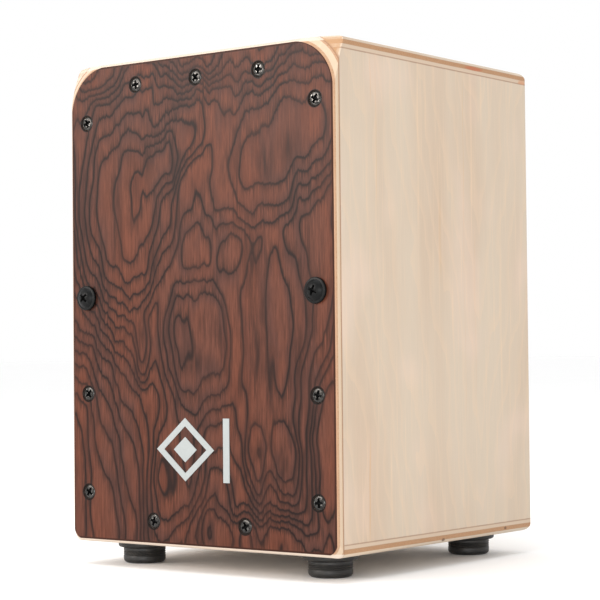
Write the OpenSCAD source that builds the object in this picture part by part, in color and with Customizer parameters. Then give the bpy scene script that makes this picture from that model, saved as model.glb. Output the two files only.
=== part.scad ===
// Mini cajon: a small plywood box drum with a burl-veneered playing face, rubber feet and an adjustable snare.
// Units are millimetres. +Z is up and the playing face looks along -Y.
// The origin is on the floor, under the middle of the whole drum.

/* [Box] */
// Width over the side panels
body_w = 148; // [146:1:160]
// Depth from the playing face to the rear edges
body_d = 151; // [140:1:170]
// Height of the box without its feet
body_h = 211.5; // [205:0.5:240]
// Thickness of the top, bottom and side panels
panel_t = 5.2; // [4.8:0.1:5.6]
// Radius of the small roundover on the outer edges
edge_r = 2.2; // [1.5:0.1:2.4]
// Radius of the large roundover on the upper and lower rear edges
rear_edge_r = 7; // [6:0.5:8]
// Side of the square battens glued inside the front and the rear
batten_s = 12; // [11:0.5:13]

/* [Playing face] */
// Thickness of the burl face veneer
veneer_t = 0.5; // [0.4:0.1:0.8]
// Thickness of the plywood board behind the veneer
board_t = 2.5; // [2.3:0.1:3]
// Radius of the upper corners of the veneered face
upper_arc_r = 20; // [16:1:24]
// Radius of the lower corners of the veneered face
lower_arc_r = 4.5; // [4:0.5:6]
// Slope of the facet sanded behind the upper corners
upper_facet_deg = 33; // [28:1:38]
// Slope of the facet sanded behind the lower corners
lower_facet_deg = 45; // [38:1:50]
// Distance of the side screw columns from the outside of the box
screw_inset_x = 10.3; // [10:0.1:11]
// Distance of the top and bottom screw rows from the outside of the box
screw_inset_z = 10.7; // [10:0.1:11.5]
// Distance of the highest side screws below the top of the box
high_screw_drop = 25.5; // [23:0.5:30]
// Height of the middle side screws above the underside of the box
mid_screw_z = 65.5; // [55:0.5:75]
// Height of the lowest side screws above the underside of the box
low_screw_z = 22; // [20:0.5:28]
// Distance between neighbouring screws of the top row
top_screw_pitch = 34.4; // [28:0.1:40]
// Distance between the two screws of the bottom row
bottom_screw_pitch = 50.8; // [40:0.1:60]

/* [Rear panel] */
// Thickness of the rear panel
rear_t = 4; // [3:0.5:5]
// Depth of the rear panel's outer face inside the rear edges
rear_recess = 1; // [0.5:0.5:2]
// Diameter of the sound hole
sound_hole_d = 50; // [40:1:60]
// Height of the sound hole's centre above the underside of the box
sound_hole_z = 105; // [95:1:115]

/* [Snare] */
// Height of the snare bar and the adjuster screws above the underside of the box
adjuster_z = 108; // [100:1:115]
// Diameter of the flange of the adjuster heads
adjuster_head_d = 10.9; // [9.6:0.1:11.4]
// Diameter of the dome on the adjuster heads
adjuster_dome_d = 8.6; // [7.6:0.1:9]
// Height of the adjuster heads, flange and dome
adjuster_head_h = 3.3; // [2.8:0.1:3.8]
// Forward travel of the snare bar over the whole turn of the adjusters
snare_travel = 1.6; // [1:0.1:1.8]
// Number of snare wires
wire_count = 10; // [6:1:12]
// Free length of a snare wire above its clamp plate
wire_length = 56; // [40:1:70]

/* [Feet] */
// Height of the rubber feet
foot_h = 10.5; // [9:0.5:12]
// Diameter of the flange of a foot
foot_flange_d = 23.4; // [20:0.1:25]
// Diameter of the body of a foot
foot_body_d = 19; // [17:0.1:19.5]
// Distance of the feet from the outside of the side panels
foot_inset_x = 22; // [18:0.5:26]
// Distance of the feet from the front and rear edges of the bottom panel
foot_inset_y = 20.5; // [18:0.5:26]

/* [Hidden] */
$fn = 64;

// Planes of the box
half_w = body_w / 2;
front_y = (adjuster_head_h - body_d) / 2;
rear_y = front_y + body_d;
under_z = foot_h;
top_z = under_z + body_h;
board_y = front_y + veneer_t;
box_y = board_y + board_t;
inner_x = half_w - panel_t;
floor_z = under_z + panel_t;
ceiling_z = top_z - panel_t;
batten_y = box_y + batten_s;
rear_panel_y = rear_y - rear_recess - rear_t;

// How far a cutter reaches past the surface that it cuts
over = 1;
// Radial play between a screw and the hole that only holds it
hole_play = 0.03;
// How far the corner facets stand off the roundovers of the straight edges
facet_shift = 0.1;

// Tapa screws
tapa_head_d = 6.6;
tapa_sink_d = 7;
tapa_head_sunk = 0.15;
tapa_shank_d = 3.5;
tapa_screw_l = 14;
tip_l = 2.5;
screw_col_x = half_w - screw_inset_x;
side_screw_z = [under_z + low_screw_z, under_z + mid_screw_z, top_z - high_screw_drop];
tapa_screw_places = concat(
    [for (side = [-1, 1], z = side_screw_z) [side * screw_col_x, z]],
    [for (i = [-1, 0, 1]) [i * top_screw_pitch, top_z - screw_inset_z]],
    [for (side = [-1, 1]) [side * bottom_screw_pitch / 2, under_z + screw_inset_z]]);
// Turn from each screw to the next, so that no two recesses stand alike
recess_turn = 53;

// Adjuster screws and the snare that they carry
adjuster_axis_z = under_z + adjuster_z;
adjuster_d = 5;
adjuster_rim_h = 1.2;
adjuster_gap = 0.3;
adjuster_hole_d = 5.6;
insert_d = 8;
insert_bore_d = 5.1;
bar_h = 10;
bar_end_t = 8;
bar_side_play = 1;
bar_mid_play = 0.6;
stop_gap = 0.5;
wire_gap = 0.4;
wire_d = 1.8;
wire_pitch = 4.4;
plate_t = 0.8;
plate_h = 8;
plate_margin = 8;
wire_y = box_y + wire_gap + snare_travel + wire_d / 2;
plate_y = wire_y + wire_d / 2;
bar_front_y = plate_y + plate_t;
bar_end_y = batten_y + stop_gap + snare_travel;
bar_rear_y = bar_end_y + bar_end_t;
wire_span = (wire_count - 1) * wire_pitch;
plate_w = wire_span + wire_d + 2 * plate_margin;
plate_screw_x = plate_w / 2 - plate_margin / 2;
plate_screw_d = 2.5;
plate_screw_head_d = 4.6;
plate_screw_head_h = 1.5;
plate_screw_l = 10;
wire_low_z = adjuster_axis_z - plate_h / 2 + 1;
wire_high_z = adjuster_axis_z + plate_h / 2 + wire_length;
strip_t = 0.6;
strip_h = 5;

// Feet
foot_flange_h = 3.4;
foot_toe_r = 2;
foot_web_t = 4.5;
foot_pocket_d = 9.2;
foot_hole_d = 3.6;
washer_d = 8.8;
washer_t = 0.8;
washer_hole_d = 3.7;
foot_screw_d = 3.5;
foot_screw_head_d = 7;
foot_screw_head_h = 2.4;
foot_screw_end_gap = 0.4;
foot_x = half_w - foot_inset_x;
front_foot_y = box_y + foot_inset_y;
rear_foot_y = rear_y - foot_inset_y;
pocket_z = foot_h - foot_web_t;

// Emblem: a diamond in a diamond beside a plain bar
emblem_t = 0.2;
emblem_x = -7;
emblem_z = under_z + 42;
emblem_w = 32;
emblem_h = 27;
emblem_line = 0.74;
emblem_core = 0.4;
emblem_bar_x = 15.7;
emblem_bar_w = 3.4;

// Colours
birch = [0.87, 0.79, 0.68];
ply = [0.80, 0.64, 0.46];
burl = [0.42, 0.25, 0.21];
pine = [0.84, 0.72, 0.54];
black_steel = [0.13, 0.13, 0.14];
zinc = [0.72, 0.73, 0.74];
brass = [0.80, 0.64, 0.30];
rubber = [0.14, 0.13, 0.12];
silver = [0.86, 0.87, 0.88];

// ---- Shared shapes ----

// Repeats its children mirrored across a plane through the origin
module both_sides(normal) {
    children();
    mirror(normal) children();
}

// Mirrors its children across a plane through the origin only when asked to
module mirror_if(asked, normal) {
    if (asked) mirror(normal) children();
    else children();
}

// Turns a shape made along +Z so that it runs along +Y
module along_y() {
    rotate([-90, 0, 0]) children();
}

// A box from one corner to the other
module block(low, high) {
    translate(low) cube(high - low);
}

// Cutter that rounds an edge: the edge runs along +Z from the origin, with the material at -X and -Y
module edge_cutter(length, r) {
    linear_extrude(length) difference() {
        translate([-r, -r]) square(r + over);
        translate([-r, -r]) circle(r);
    }
}

// The four vertical edges, in pairs: way is -1 at the front and 1 at the rear
module upright_edge_cutters(way) {
    y = way < 0 ? front_y : rear_y;
    both_sides([1, 0, 0])
        translate([half_w, y, under_z - over])
            mirror_if(way < 0, [0, 1, 0])
                edge_cutter(body_h + 2 * over, edge_r);
}

// The edges that run from side to side along the top and the bottom
module cross_edge_cutters(way, r) {
    y = way < 0 ? front_y : rear_y;
    for (level = [[top_z, 1], [under_z, -1]])
        translate([half_w + over, y, level[0]])
            mirror_if(way < 0, [0, 1, 0])
                mirror_if(level[1] < 0, [0, 0, 1])
                    rotate([0, -90, 0]) edge_cutter(body_w + 2 * over, r);
}

// The edges that run from front to rear along the top and the bottom
module long_edge_cutters() {
    both_sides([1, 0, 0])
        for (level = [[top_z, 1], [under_z, -1]])
            translate([half_w, rear_y + over, level[0]])
                mirror_if(level[1] < 0, [0, 0, 1])
                    rotate([90, 0, 0]) edge_cutter(body_d + 2 * over, edge_r);
}

// Section of the corner facet: radius from the arc's axis across, depth behind the playing face upwards.
// The sloping line is the one that would touch the roundover of the straight edges.
module facet_section(arc_r, slope_deg) {
    start = arc_r + edge_r * (sin(slope_deg) - (1 - cos(slope_deg)) / tan(slope_deg));
    end = (arc_r + edge_r) * sqrt(2) + over;
    polygon([[start - over / tan(slope_deg), -over], [end, -over], [end, (end - start) * tan(slope_deg)]]);
}

// Facets behind a pair of corners of the playing face: level is 1 at the top and -1 at the bottom
module corner_cutters(level, arc_r, slope_deg) {
    centre = edge_r + arc_r - facet_shift;
    outer = centre + over;
    edge_z = level > 0 ? top_z : under_z;
    both_sides([1, 0, 0])
        translate([half_w - centre, front_y, edge_z - level * centre])
            mirror_if(level < 0, [0, 0, 1])
                intersection() {
                    rotate([-90, 0, 0]) rotate_extrude($fn = 128) facet_section(arc_r, slope_deg);
                    block([0, -2 * over, 0], [outer, outer, outer]);
                }
}

module all_corner_cutters() {
    corner_cutters(1, upper_arc_r, upper_facet_deg);
    corner_cutters(-1, lower_arc_r, lower_facet_deg);
}

// Cross recess of a screw: two crossed slots that go down from the origin along +Z
module cross_recess(across, slot, depth) {
    for (turn = [0, 90])
        rotate([0, 0, turn])
            translate([-across / 2, -slot / 2, -over]) cube([across, slot, depth + over]);
}

// Hole for a tapa screw, along +Z from the playing face
module tapa_screw_hole() {
    sink_h = (tapa_sink_d - tapa_shank_d) / 2;
    translate([0, 0, -over]) cylinder(h = over + 0.01, d = tapa_sink_d);
    cylinder(h = sink_h, d1 = tapa_sink_d, d2 = tapa_shank_d);
    translate([0, 0, -over]) cylinder(h = tapa_screw_l + 2 * over, d = tapa_shank_d + 2 * hole_play);
}

module tapa_screw_holes() {
    for (place = tapa_screw_places)
        translate([place[0], front_y, place[1]]) along_y() tapa_screw_hole();
}

// Clearance holes for both adjuster screws, through the face and the battens
module adjuster_holes() {
    for (side = [-1, 1])
        translate([side * screw_col_x, front_y - over, adjuster_axis_z])
            along_y() cylinder(h = batten_y - front_y + 2 * over, d = adjuster_hole_d);
}

// ---- Box ----

module top_panel() {
    color(birch) difference() {
        block([-half_w, box_y, ceiling_z], [half_w, rear_y, top_z]);
        long_edge_cutters();
        upright_edge_cutters(1);
        cross_edge_cutters(1, rear_edge_r);
        all_corner_cutters();
    }
}

module bottom_panel() {
    color(birch) difference() {
        block([-half_w, box_y, under_z], [half_w, rear_y, floor_z]);
        long_edge_cutters();
        upright_edge_cutters(1);
        cross_edge_cutters(1, rear_edge_r);
        all_corner_cutters();
        for (place = foot_places())
            translate([place[0], place[1], under_z - over])
                cylinder(h = panel_t - foot_screw_end_gap + over, d = foot_screw_d + 2 * hole_play);
    }
}

module right_side_panel() {
    color(birch) difference() {
        block([inner_x, box_y, floor_z], [half_w, rear_y, ceiling_z]);
        upright_edge_cutters(1);
        cross_edge_cutters(1, rear_edge_r);
        all_corner_cutters();
    }
}

module left_side_panel() {
    mirror([1, 0, 0]) right_side_panel();
}

module rear_panel() {
    color(ply) difference() {
        block([-inner_x, rear_panel_y, floor_z], [inner_x, rear_panel_y + rear_t, ceiling_z]);
        translate([0, rear_panel_y - over, under_z + sound_hole_z])
            along_y() cylinder(h = rear_t + 2 * over, d = sound_hole_d, $fn = 128);
    }
}

// Upright batten on the right, from the bottom panel to the top panel
module upright_batten(y) {
    block([inner_x - batten_s, y, floor_z], [inner_x, y + batten_s, ceiling_z]);
}

// Level batten between the uprights
module level_batten(y, z) {
    half_l = inner_x - batten_s;
    block([-half_l, y, z], [half_l, y + batten_s, z + batten_s]);
}

module front_right_batten() {
    color(pine) difference() {
        upright_batten(box_y);
        tapa_screw_holes();
        adjuster_holes();
    }
}

module front_left_batten() {
    mirror([1, 0, 0]) front_right_batten();
}

module front_top_batten() {
    color(pine) difference() {
        level_batten(box_y, ceiling_z - batten_s);
        tapa_screw_holes();
    }
}

module front_bottom_batten() {
    color(pine) difference() {
        level_batten(box_y, floor_z);
        tapa_screw_holes();
    }
}

module rear_right_batten() {
    color(pine) upright_batten(rear_panel_y - batten_s);
}

module rear_left_batten() {
    mirror([1, 0, 0]) rear_right_batten();
}

module rear_top_batten() {
    color(pine) level_batten(rear_panel_y - batten_s, ceiling_z - batten_s);
}

module rear_bottom_batten() {
    color(pine) level_batten(rear_panel_y - batten_s, floor_z);
}

// ---- Playing face ----

// One layer of the tapa between two depths behind the playing face
module tapa_layer(y_low, y_high) {
    difference() {
        block([-half_w, y_low, under_z], [half_w, y_high, top_z]);
        upright_edge_cutters(-1);
        cross_edge_cutters(-1, edge_r);
        long_edge_cutters();
        all_corner_cutters();
        tapa_screw_holes();
        adjuster_holes();
    }
}

module tapa_board() {
    color(ply) tapa_layer(board_y, box_y);
}

module tapa_veneer() {
    color(burl) tapa_layer(front_y, board_y);
}

module tapa_screw() {
    sink_h = (tapa_head_d - tapa_shank_d) / 2;
    difference() {
        union() {
            cylinder(h = sink_h, d1 = tapa_head_d, d2 = tapa_shank_d);
            translate([0, 0, sink_h]) cylinder(h = tapa_screw_l - tip_l - sink_h, d = tapa_shank_d);
            translate([0, 0, tapa_screw_l - tip_l]) cylinder(h = tip_l, d1 = tapa_shank_d, d2 = 0.6);
        }
        cross_recess(4, 0.9, 1.6);
    }
}

module tapa_screws() {
    color(black_steel)
        for (i = [0 : len(tapa_screw_places) - 1])
            translate([tapa_screw_places[i][0], front_y + tapa_head_sunk, tapa_screw_places[i][1]])
                along_y() rotate([0, 0, i * recess_turn]) tapa_screw();
}

// Diamond outline about its centre
module diamond(share) {
    w = emblem_w / 2 * share;
    h = emblem_h / 2 * share;
    polygon([[-w, 0], [0, -h], [w, 0], [0, h]]);
}

module front_emblem() {
    color(silver)
        translate([0, front_y, emblem_z]) rotate([90, 0, 0]) linear_extrude(emblem_t) {
            translate([emblem_x, 0]) difference() {
                diamond(1);
                diamond(emblem_line);
            }
            translate([emblem_x, 0]) diamond(emblem_core);
            translate([emblem_bar_x, 0]) square([emblem_bar_w, emblem_h], center = true);
        }
}

// ---- Adjuster screws and snare ----

module adjuster_screw() {
    dome_h = adjuster_head_h - adjuster_gap - adjuster_rim_h;
    base_r = adjuster_dome_d / 2;
    dome_r = (base_r * base_r + dome_h * dome_h) / (2 * dome_h);
    shank_l = bar_rear_y - front_y + over;
    difference() {
        union() {
            rotate_extrude() {
                translate([0, -adjuster_gap - adjuster_rim_h]) square([adjuster_head_d / 2, adjuster_rim_h]);
                intersection() {
                    translate([0, dome_r - adjuster_head_h]) circle(dome_r, $fn = 128);
                    translate([0, -adjuster_head_h]) square([base_r, dome_h]);
                }
            }
            translate([0, 0, -adjuster_gap - over]) cylinder(h = shank_l + adjuster_gap + over, d = adjuster_d);
        }
        translate([0, 0, -adjuster_head_h]) cross_recess(4.6, 1, 2);
    }
}

module right_adjuster_screw() {
    color(black_steel) translate([screw_col_x, front_y, adjuster_axis_z])
        along_y() rotate([0, 0, 30]) adjuster_screw();
}

module left_adjuster_screw() {
    color(black_steel) translate([-screw_col_x, front_y, adjuster_axis_z])
        along_y() rotate([0, 0, 45]) adjuster_screw();
}

// Bar with thinner ends that lie behind the front battens
module snare_bar() {
    half_mid = inner_x - batten_s - bar_mid_play;
    half_end = inner_x - bar_side_play;
    low_z = adjuster_axis_z - bar_h / 2;
    high_z = adjuster_axis_z + bar_h / 2;
    color(pine) difference() {
        union() {
            block([-half_mid, bar_front_y, low_z], [half_mid, bar_rear_y, high_z]);
            block([-half_end, bar_end_y, low_z], [half_end, bar_rear_y, high_z]);
        }
        for (side = [-1, 1]) {
            translate([side * screw_col_x, bar_end_y - over, adjuster_axis_z])
                along_y() cylinder(h = bar_end_t + 2 * over, d = insert_d + 2 * hole_play);
            translate([side * plate_screw_x, bar_front_y - over, adjuster_axis_z])
                along_y() cylinder(h = plate_screw_l + over, d = plate_screw_d + 2 * hole_play);
        }
    }
}

module right_adjuster_insert() {
    color(brass) translate([screw_col_x, bar_end_y, adjuster_axis_z]) along_y() difference() {
        cylinder(h = bar_end_t, d = insert_d);
        translate([0, 0, -over]) cylinder(h = bar_end_t + 2 * over, d = insert_bore_d);
    }
}

module left_adjuster_insert() {
    mirror([1, 0, 0]) right_adjuster_insert();
}

module snare_plate() {
    color(zinc) difference() {
        block([-plate_w / 2, plate_y, adjuster_axis_z - plate_h / 2],
            [plate_w / 2, bar_front_y, adjuster_axis_z + plate_h / 2]);
        for (side = [-1, 1])
            translate([side * plate_screw_x, plate_y - over, adjuster_axis_z])
                along_y() cylinder(h = plate_t + 2 * over, d = plate_screw_d + 2 * hole_play);
    }
}

module snare_plate_screws() {
    color(zinc)
        for (side = [-1, 1])
            translate([side * plate_screw_x, plate_y, adjuster_axis_z]) along_y() difference() {
                union() {
                    translate([0, 0, -plate_screw_head_h])
                        cylinder(h = plate_screw_head_h, d = plate_screw_head_d);
                    cylinder(h = plate_screw_l, d = plate_screw_d);
                }
                translate([0, 0, -plate_screw_head_h]) cross_recess(2.8, 0.7, 1);
            }
}

// Each wire's coil as a plain rod of its outer diameter
module snare_wires() {
    color(zinc)
        for (i = [0 : wire_count - 1])
            translate([i * wire_pitch - wire_span / 2, wire_y, wire_low_z])
                cylinder(h = wire_high_z - wire_low_z, d = wire_d);
}

module snare_end_strip() {
    half_strip = wire_span / 2 + wire_d;
    color(zinc) block([-half_strip, plate_y, wire_high_z - strip_h], [half_strip, plate_y + strip_t, wire_high_z]);
}

// ---- Feet ----

function foot_places() = [for (x = [-foot_x, foot_x], y = [front_foot_y, rear_foot_y]) [x, y]];

module foot(x, y) {
    color(rubber) translate([x, y, 0]) difference() {
        rotate_extrude() {
            square([foot_body_d / 2 - foot_toe_r, foot_h]);
            translate([0, foot_toe_r]) square([foot_body_d / 2, foot_h - foot_toe_r]);
            translate([foot_body_d / 2 - foot_toe_r, foot_toe_r]) intersection() {
                circle(foot_toe_r);
                translate([0, -foot_toe_r]) square(foot_toe_r);
            }
            translate([0, foot_h - foot_flange_h]) square([foot_flange_d / 2, foot_flange_h]);
        }
        translate([0, 0, -over]) cylinder(h = pocket_z + over, d = foot_pocket_d);
        cylinder(h = foot_h + over, d = foot_hole_d);
    }
}

module foot_washers() {
    color(zinc)
        for (place = foot_places())
            translate([place[0], place[1], pocket_z - washer_t]) difference() {
                cylinder(h = washer_t, d = washer_d);
                translate([0, 0, -over]) cylinder(h = washer_t + 2 * over, d = washer_hole_d);
            }
}

module foot_screws() {
    seat_z = pocket_z - washer_t;
    color(zinc)
        for (place = foot_places())
            translate([place[0], place[1], seat_z]) difference() {
                union() {
                    translate([0, 0, -foot_screw_head_h])
                        cylinder(h = foot_screw_head_h, d = foot_screw_head_d);
                    cylinder(h = floor_z - foot_screw_end_gap - seat_z, d = foot_screw_d);
                }
                translate([0, 0, -foot_screw_head_h]) cross_recess(4, 0.9, 1.5);
            }
}

top_panel();
bottom_panel();
left_side_panel();
right_side_panel();
rear_panel();
tapa_board();
tapa_veneer();
tapa_screws();
front_emblem();
front_left_batten();
front_right_batten();
front_top_batten();
front_bottom_batten();
rear_left_batten();
rear_right_batten();
rear_top_batten();
rear_bottom_batten();
foot(-foot_x, front_foot_y);  // front_left_foot
foot(foot_x, front_foot_y);  // front_right_foot
foot(-foot_x, rear_foot_y);  // rear_left_foot
foot(foot_x, rear_foot_y);  // rear_right_foot
foot_washers();
foot_screws();
left_adjuster_screw();
right_adjuster_screw();
snare_bar();
left_adjuster_insert();
right_adjuster_insert();
snare_plate();
snare_plate_screws();
snare_wires();
snare_end_strip();
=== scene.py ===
"""Looks of the mini cajon: plywood box, burl-veneered playing face, screws, rubber feet and snare.

Everything is in the row frame, in metres: +Z up, the playing face towards -Y, the origin on the floor
under the middle of the drum. Sizes inside the materials are in millimetres.
"""

import math

import bmesh
import bpy
from mathutils import Matrix, Vector


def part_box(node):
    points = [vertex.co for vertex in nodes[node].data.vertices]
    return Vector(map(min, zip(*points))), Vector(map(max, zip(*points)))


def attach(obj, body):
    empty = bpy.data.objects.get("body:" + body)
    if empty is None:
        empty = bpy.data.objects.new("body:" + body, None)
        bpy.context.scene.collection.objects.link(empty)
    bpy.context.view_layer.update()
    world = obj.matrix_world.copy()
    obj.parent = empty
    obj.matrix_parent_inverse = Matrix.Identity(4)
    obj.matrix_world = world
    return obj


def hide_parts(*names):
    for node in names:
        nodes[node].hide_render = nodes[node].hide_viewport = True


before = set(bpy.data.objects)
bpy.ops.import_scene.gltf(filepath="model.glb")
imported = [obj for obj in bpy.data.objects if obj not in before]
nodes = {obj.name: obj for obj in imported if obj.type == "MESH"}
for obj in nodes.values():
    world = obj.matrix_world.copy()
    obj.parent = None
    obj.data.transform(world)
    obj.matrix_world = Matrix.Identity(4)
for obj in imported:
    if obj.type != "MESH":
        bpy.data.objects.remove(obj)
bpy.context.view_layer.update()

MM = 0.001


# ---------------------------------------------------------------- places, read from the CAD model (mm)

def box_mm(node):
    low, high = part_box(node)
    return low / MM, high / MM


veneer_low = box_mm("tapa_veneer")[0]
board_high = box_mm("tapa_board")[1]
side_low, side_high = box_mm("right_side_panel")
top_high = box_mm("top_panel")[1]
bottom_low = box_mm("bottom_panel")[0]
rear_low, rear_high = box_mm("rear_panel")

FRONT_Y = veneer_low.y
BOX_Y = board_high.y
HALF_W = top_high.x
INNER_X = side_low.x
TOP_Z, CEILING_Z = top_high.z, side_high.z
UNDER_Z, FLOOR_Z = bottom_low.z, side_low.z
PANEL_T = TOP_Z - CEILING_Z
FEET = ("front_left_foot", "front_right_foot", "rear_left_foot", "rear_right_foot")


# ---------------------------------------------------------------- node trees

class Nodes:
    """A node tree, with a short method for each kind of node. Places are in millimetres."""

    tree = None
    place = None

    def add(self, kind, inputs=None, **settings):
        node = self.tree.nodes.new("ShaderNode" + kind)
        for key, value in settings.items():
            setattr(node, key, value)
        for key, value in (inputs or {}).items():
            self.join(value, node.inputs[key])
        return node

    def join(self, value, socket):
        if isinstance(value, bpy.types.NodeSocket):
            self.tree.links.new(value, socket)
        elif socket.type == "RGBA" and len(value) == 3:
            socket.default_value = (*value, 1)
        else:
            socket.default_value = value

    def math(self, operation, a, b=0.0, c=0.0):
        inputs = {0: a, 1: b, 2: c} if operation == "MULTIPLY_ADD" else {0: a, 1: b}
        return self.add("Math", inputs, operation=operation).outputs[0]

    def vector(self, operation, a, b=(0, 0, 0)):
        node = self.add("VectorMath", {0: a, 1: b}, operation=operation)
        return node.outputs["Value" if operation == "DOT_PRODUCT" else "Vector"]

    def noise(self, scale, detail=3.0, rough=0.5, place=None, seed=0.0, colour=False):
        """Noise from 0 to 1 around 0.5. scale is in cycles per millimetre along each axis."""
        spot = self.vector("MULTIPLY", place or self.place, scale)
        spot = self.vector("ADD", spot, (seed, seed * 1.7, -seed))
        node = self.add("TexNoise", {"Vector": spot, "Scale": 1.0, "Detail": detail, "Roughness": rough})
        return node.outputs[1 if colour else 0]

    def span(self, value, low, high, to_low=0.0, to_high=1.0, smooth=True):
        """The value, carried from low..high to to_low..to_high and held at both ends."""
        kind = "SMOOTHSTEP" if smooth else "LINEAR"
        node = self.add("MapRange", {0: value, 1: low, 2: high, 3: to_low, 4: to_high},
                        interpolation_type=kind)
        return node.outputs[0]

    def mix(self, share, a, b):
        """Colour a, giving way to colour b as share goes from 0 to 1."""
        node = self.add("Mix", data_type="RGBA", blend_type="MIX")
        for socket, value in ((0, share), (6, a), (7, b)):
            self.join(value, node.inputs[socket])
        return node.outputs[2]

    def hypot(self, a, b):
        """The length of the diagonal over two sides at a right angle."""
        square = self.math("ADD", self.math("MULTIPLY", a, a), self.math("MULTIPLY", b, b))
        return self.math("SQRT", square)

    def scaled(self, colour, value):
        """The colour multiplied by a number."""
        grey = self.add("CombineXYZ", {0: value, 1: value, 2: value}).outputs[0]
        return self.vector("MULTIPLY", colour, grey)

    def near(self, value, centre, inner, outer):
        """1 within inner of the centre, 0 beyond outer."""
        return self.span(self.math("ABSOLUTE", self.math("SUBTRACT", value, centre)), inner, outer, 1.0, 0.0)


class Figure(Nodes):
    """A node group that takes a place and gives one number."""

    def __init__(self, name):
        self.tree = bpy.data.node_groups.new(name, "ShaderNodeTree")
        self.tree.interface.new_socket("Place", in_out="INPUT", socket_type="NodeSocketVector")
        self.tree.interface.new_socket("Height", in_out="OUTPUT", socket_type="NodeSocketFloat")
        self.place = self.tree.nodes.new("NodeGroupInput").outputs[0]

    def give(self, value):
        self.tree.links.new(value, self.tree.nodes.new("NodeGroupOutput").inputs[0])
        return self.tree


class Paint(Nodes):
    """One material."""

    def __init__(self, name):
        self.material = bpy.data.materials.new(name)
        self.material.use_nodes = True
        self.tree = self.material.node_tree
        self.shader = self.tree.nodes["Principled BSDF"]
        place = self.add("TexCoord").outputs["Object"]
        self.place = self.vector("MULTIPLY", place, (1000, 1000, 1000))
        parts = self.add("SeparateXYZ", {0: self.place})
        self.x, self.y, self.z = parts.outputs[0], parts.outputs[1], parts.outputs[2]

    def group(self, tree, place):
        node = self.tree.nodes.new("ShaderNodeGroup")
        node.node_tree = tree
        self.tree.links.new(place, node.inputs[0])
        return node.outputs[0]

    def finish(self, colour, roughness, height=None, depth_mm=0.1, strength=1.0, **fixed):
        self.join(colour, self.shader.inputs["Base Color"])
        self.join(roughness, self.shader.inputs["Roughness"])
        if height is not None:
            bump = self.add("Bump", {"Height": height, "Distance": depth_mm * MM, "Strength": strength})
            self.tree.links.new(bump.outputs[0], self.shader.inputs["Normal"])
        for name, value in fixed.items():
            self.shader.inputs[name.replace("_", " ")].default_value = value
        return self.material


def srgb(r, g, b):
    """A colour from 0 to 255, as the linear values that a shader takes."""
    def one(v):
        v /= 255
        return v / 12.92 if v <= 0.04045 else ((v + 0.055) / 1.055) ** 2.4
    return one(r), one(g), one(b)


# ---------------------------------------------------------------- plywood

PALE = srgb(193, 177, 158)
PALE_WARM = srgb(188, 167, 146)
CORE = srgb(173, 134, 99)
CORE_DARK = srgb(158, 118, 83)
INNER = srgb(189, 162, 137)
TAN = srgb(174, 142, 116)
GLUE = srgb(130, 96, 72)
BURL_RED = srgb(88, 48, 34)
BURL_GREY = srgb(74, 45, 37)
BURL_LIGHT = srgb(95, 54, 39)
BURL_LINE = srgb(22, 14, 12)
BURL_PORE = srgb(40, 25, 21)
BURL_RIM = srgb(52, 27, 18)

# A ply's border, in shares of the board's thickness: the whole swing of its wander, half the width of
# its blend, and how far its glue line reaches to either side
PLY_WANDER = 0.08
PLY_BLEND = 0.015
GLUE_REACH = 0.028


def along(axis, fine, coarse):
    """A noise scale that is coarse along the named axis and fine across it."""
    return tuple(coarse if a == axis else fine for a in "XYZ")


def plywood(name, depth_of, thickness, grain, cross, plies, seam_of=None, extra=None, face=PALE):
    """Plywood that is right all through: depth_of gives the depth under its outer face, and plies lists
    where each ply ends, as a share of the thickness, with the ply's own kind: a key of looks."""
    p = Paint(name)
    depth = depth_of(p)
    wander = p.math("MULTIPLY_ADD", p.noise(along(grain, 0.05, 0.02), 2), PLY_WANDER, -PLY_WANDER / 2)
    share = p.math("ADD", p.math("DIVIDE", depth, thickness), wander)

    # long grain of the face plies: broad pale figure, fine streaks and pores
    broad = p.noise(along(grain, 0.035, 0.006), 3, 0.5, seed=3.1)
    streak = p.noise(along(grain, 0.45, 0.012), 4, 0.6, seed=7.7)
    fine = p.noise(along(grain, 3.2, 0.06), 3, 0.6, seed=1.3)
    face_colour = p.mix(p.span(broad, 0.35, 0.68), face, PALE_WARM)
    face_colour = p.mix(p.span(streak, 0.52, 0.75, 0.0, 0.5), face_colour, srgb(212, 186, 156))
    face_colour = p.scaled(face_colour, p.span(fine, 0.25, 0.75, 0.955, 1.03))

    # core ply, whose grain runs the other way, so its end grain shows on the edges
    end = p.noise(along(cross, 1.9, 0.05), 4, 0.7, seed=5.5)
    pore = p.noise(along(cross, 4.2, 0.08), 2, 0.6, seed=9.9)
    core_colour = p.mix(p.span(end, 0.3, 0.7), CORE, CORE_DARK)
    core_colour = p.mix(p.span(pore, 0.56, 0.68, 0.0, 0.35), core_colour, srgb(120, 78, 50))

    looks = {"face": face_colour, "core": core_colour,
             "inner": p.scaled(p.mix(0.5, INNER, face), p.span(pore, 0.3, 0.7, 0.97, 1.03)),
             "tan": p.mix(p.span(end, 0.3, 0.7), TAN, core_colour)}
    colour = looks[plies[0][1]]
    for (start, _), (_, kind) in zip(plies, plies[1:]):
        colour = p.mix(p.span(share, start - PLY_BLEND, start + PLY_BLEND), colour, looks[kind])
    for end_at, _ in plies[:-1]:
        line = p.near(share, end_at, 0.0, GLUE_REACH)
        colour = p.mix(p.math("MULTIPLY", line, 0.28), colour, GLUE)

    if seam_of is not None:
        seam = seam_of(p)
        colour = p.mix(p.math("MULTIPLY", seam, 0.6), colour, srgb(128, 90, 66))
    if extra is not None:
        colour = extra(p, colour)
    height = p.math("ADD", fine, p.math("MULTIPLY", streak, 0.5))
    rough = p.span(fine, 0.2, 0.8, 0.5, 0.62)
    return p.finish(colour, rough, height, depth_mm=0.05, strength=0.5, Specular_IOR_Level=0.35)


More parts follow.
